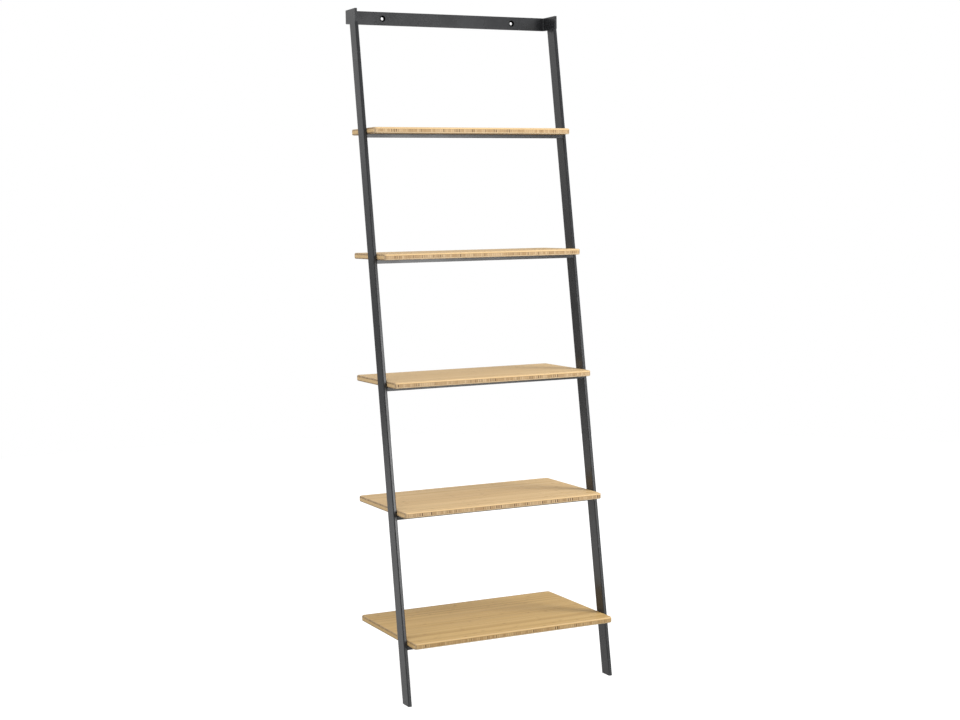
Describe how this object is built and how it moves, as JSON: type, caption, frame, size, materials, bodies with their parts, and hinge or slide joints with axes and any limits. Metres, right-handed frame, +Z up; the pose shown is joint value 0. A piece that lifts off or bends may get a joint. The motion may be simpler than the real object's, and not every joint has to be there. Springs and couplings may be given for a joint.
{
  "type": "ladder shelf",
  "caption": "Leaning wall ladder shelf with dark powder-coated flat-bar rails, a U-shaped wall bracket and bamboo boards that grow deeper towards the floor.",
  "frame": {"origin": "centre of the footprint on the floor: halfway across the rails, and halfway from the wall face of the bracket to the front edge of the bottom board", "axes": "+Z up, +Y towards the wall, +X to the right of a person facing the shelf"},
  "size_m": [0.614, 0.37, 1.83],
  "materials": {
    "steel_frame": "fine satin powder coat, near-black grey",
    "bamboo": "clear satin lacquer on laminated bamboo strips",
    "foot_rubber": "matt black",
    "screw_steel": "zinc-plated steel"
  },
  "bodies": {
    "root": {"left_rail": "steel_frame", "right_rail": "steel_frame", "wall_bracket": "steel_frame", "left_foot_pad": "foot_rubber", "right_foot_pad": "foot_rubber", "bottom_board": "bamboo", "bottom_cross_bar": "steel_frame", "bottom_left_tab": "steel_frame", "bottom_right_tab": "steel_frame", "lower_board": "bamboo", "lower_cross_bar": "steel_frame", "lower_left_tab": "steel_frame", "lower_right_tab": "steel_frame", "middle_board": "bamboo", "middle_cross_bar": "steel_frame", "middle_left_tab": "steel_frame", "middle_right_tab": "steel_frame", "upper_board": "bamboo", "upper_cross_bar": "steel_frame", "upper_left_tab": "steel_frame", "upper_right_tab": "steel_frame", "top_board": "bamboo", "top_cross_bar": "steel_frame", "top_left_tab": "steel_frame", "top_right_tab": "steel_frame", "board_screws": "screw_steel"}
  },
  "joints": []
}
